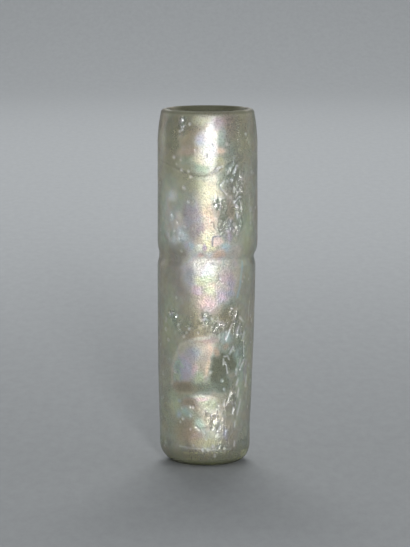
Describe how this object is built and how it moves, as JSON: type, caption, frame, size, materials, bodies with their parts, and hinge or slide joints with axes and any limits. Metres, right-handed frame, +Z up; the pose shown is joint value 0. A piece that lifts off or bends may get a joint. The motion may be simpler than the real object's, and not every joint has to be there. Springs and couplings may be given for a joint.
{
  "type": "glass unguentarium",
  "caption": "Tall tubular free-blown glass unguent bottle with a thick rounded base, a shallow tooled waist and a rounded mouth, weathered and iridescent.",
  "frame": {"origin": "middle of the bottle's outline box, on the surface that the foot stands on", "axes": "+Z up, from the foot to the mouth; the pictured side faces -Y"},
  "size_m": [0.031, 0.031, 0.11],
  "materials": {
    "weathered_glass": "see-through pale olive-green glass under a pitted, flaking, iridescent weathering film"
  },
  "bodies": {
    "root": {"vessel": "weathered_glass"}
  },
  "joints": []
}
